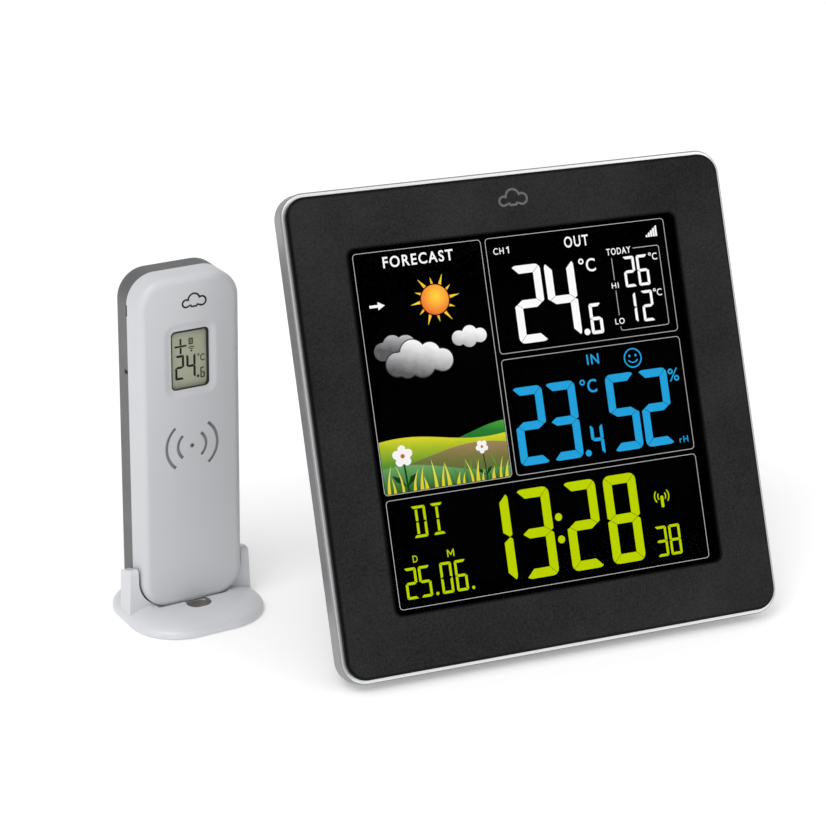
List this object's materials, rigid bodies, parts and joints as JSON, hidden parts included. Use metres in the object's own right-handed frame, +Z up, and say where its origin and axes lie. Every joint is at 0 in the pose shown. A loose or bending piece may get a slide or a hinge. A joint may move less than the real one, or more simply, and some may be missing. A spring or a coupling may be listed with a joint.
{
  "type": "home weather station",
  "caption": "Square colour weather display in a thin metal rim, leaning on a folding leg, with a wireless outdoor sensor that lifts out of a low table stand.",
  "frame": {"origin": "on the table, under the middle of the rubber strip below the display", "axes": "+Z up, +Y away from the viewer, +X to the display's right as seen from the front"},
  "size_m": [0.2107, 0.1067, 0.1509],
  "materials": {
    "bezel": "fine texture",
    "rim": "brushed satin",
    "cover": "fine texture",
    "lens": "clear, glossy",
    "lcd": "dark panel",
    "white_plastic": "satin",
    "clear_plastic": "clear",
    "lamp": "gloss",
    "connector": "matte",
    "board": "satin",
    "chip": "matte",
    "ferrite": "matte",
    "coil": "enamelled",
    "contact": "nickel",
    "cell": "satin sleeve",
    "screw": "zinc",
    "foot": "matte",
    "key": "satin",
    "stand": "satin",
    "pad": "matte",
    "front_shell": "satin",
    "rear_shell": "satin",
    "sensor_glass": "clear",
    "sensor_lcd": "reflective panel",
    "seal": "matte",
    "sensor_pcb": "satin"
  },
  "bodies": {
    "display": {"front_bezel": "bezel", "silver_rim": "rim", "rear_cover": "cover", "display_lens": "lens", "lcd_panel": "lcd", "lcd_frame": "white_plastic", "light_guide": "clear_plastic", "backlight_strip": "lamp", "lcd_connector": "connector", "main_board": "board", "board_chips": "chip", "key_switches": "chip", "ferrite_rod": "ferrite", "aerial_coil": "coil", "receiver_module": "board", "buzzer": "chip", "climate_sensor": "board", "power_inlet": "chip", "inlet_pin": "contact", "backup_cells": "cell", "cell_contacts": "contact", "case_screws": "screw", "board_screws": "screw", "foot_strip": "foot"},
    "kickstand": {"kickstand": "cover", "kickstand_pad": "foot"},
    "battery_door": {"battery_door": "cover"},
    "snooze_key": {"snooze_key": "key"},
    "key_1": {"key_1": "key"},
    "key_2": {"key_2": "key"},
    "key_3": {"key_3": "key"},
    "key_4": {"key_4": "key"},
    "key_5": {"key_5": "key"},
    "key_6": {"key_6": "key"},
    "sensor_stand": {"sensor_stand": "stand", "stand_pads": "pad"},
    "sensor": {"sensor_front_shell": "front_shell", "sensor_rear_shell": "rear_shell", "sensor_window": "sensor_glass", "sensor_lcd": "sensor_lcd", "sensor_lcd_holder": "white_plastic", "sensor_seal": "seal", "sensor_board": "sensor_pcb", "sensor_chips": "chip", "sensor_thermistor": "chip", "sensor_aerial": "coil", "sensor_light_pipe": "clear_plastic", "sensor_led": "lamp", "sensor_cells": "cell", "sensor_contacts": "contact", "sensor_screws": "screw", "channel_switch_body": "chip", "transmit_switch": "chip"},
    "sensor_door": {"sensor_door": "rear_shell"},
    "channel_slider": {"channel_slider": "white_plastic"},
    "transmit_button": {"transmit_button": "white_plastic"}
  },
  "joints": [
    {"name": "kickstand_hinge", "type": "hinge", "parent": "display", "child": "kickstand", "pos_m": [0, 0.04081, 0.07343], "axis": [1, 0, 0], "range_deg": [-32.5, 0]},
    {"name": "battery_door_slide", "type": "slide", "parent": "display", "child": "battery_door", "axis": [0, 0.9239, -0.3827], "range_m": [0, 0.012]},
    {"name": "snooze_press", "type": "slide", "parent": "display", "child": "snooze_key", "axis": [0, -0.3827, -0.9239], "range_m": [0, 0.0005], "stiffness_N_per_m": 400, "springref_m": -0.0005},
    {"name": "key_1_press", "type": "slide", "parent": "display", "child": "key_1", "axis": [0, -0.9239, 0.3827], "range_m": [0, 0.0005], "stiffness_N_per_m": 400, "springref_m": -0.0005},
    {"name": "key_2_press", "type": "slide", "parent": "display", "child": "key_2", "axis": [0, -0.9239, 0.3827], "range_m": [0, 0.0005], "stiffness_N_per_m": 400, "springref_m": -0.0005},
    {"name": "key_3_press", "type": "slide", "parent": "display", "child": "key_3", "axis": [0, -0.9239, 0.3827], "range_m": [0, 0.0005], "stiffness_N_per_m": 400, "springref_m": -0.0005},
    {"name": "key_4_press", "type": "slide", "parent": "display", "child": "key_4", "axis": [0, -0.9239, 0.3827], "range_m": [0, 0.0005], "stiffness_N_per_m": 400, "springref_m": -0.0005},
    {"name": "key_5_press", "type": "slide", "parent": "display", "child": "key_5", "axis": [0, -0.9239, 0.3827], "range_m": [0, 0.0005], "stiffness_N_per_m": 400, "springref_m": -0.0005},
    {"name": "key_6_press", "type": "slide", "parent": "display", "child": "key_6", "axis": [0, -0.9239, 0.3827], "range_m": [0, 0.0005], "stiffness_N_per_m": 400, "springref_m": -0.0005},
    {"name": "stand_slide", "type": "slide", "parent": "display", "child": "sensor_stand", "axis": [-1, 0, 0], "range_m": [0, 0.15]},
    {"name": "sensor_lift", "type": "slide", "parent": "sensor_stand", "child": "sensor", "axis": [0, 0, 1], "range_m": [0, 0.04]},
    {"name": "sensor_door_slide", "type": "slide", "parent": "sensor", "child": "sensor_door", "axis": [-0.1392, 0.9903, 0], "range_m": [0, 0.012]},
    {"name": "channel_slide", "type": "slide", "parent": "sensor", "child": "channel_slider", "axis": [0.9903, 0.1392, 0], "range_m": [0, 0.004]},
    {"name": "transmit_press", "type": "slide", "parent": "sensor", "child": "transmit_button", "axis": [0.1392, -0.9903, 0], "range_m": [0, 0.0005], "stiffness_N_per_m": 400, "springref_m": -0.0005}
  ]
}
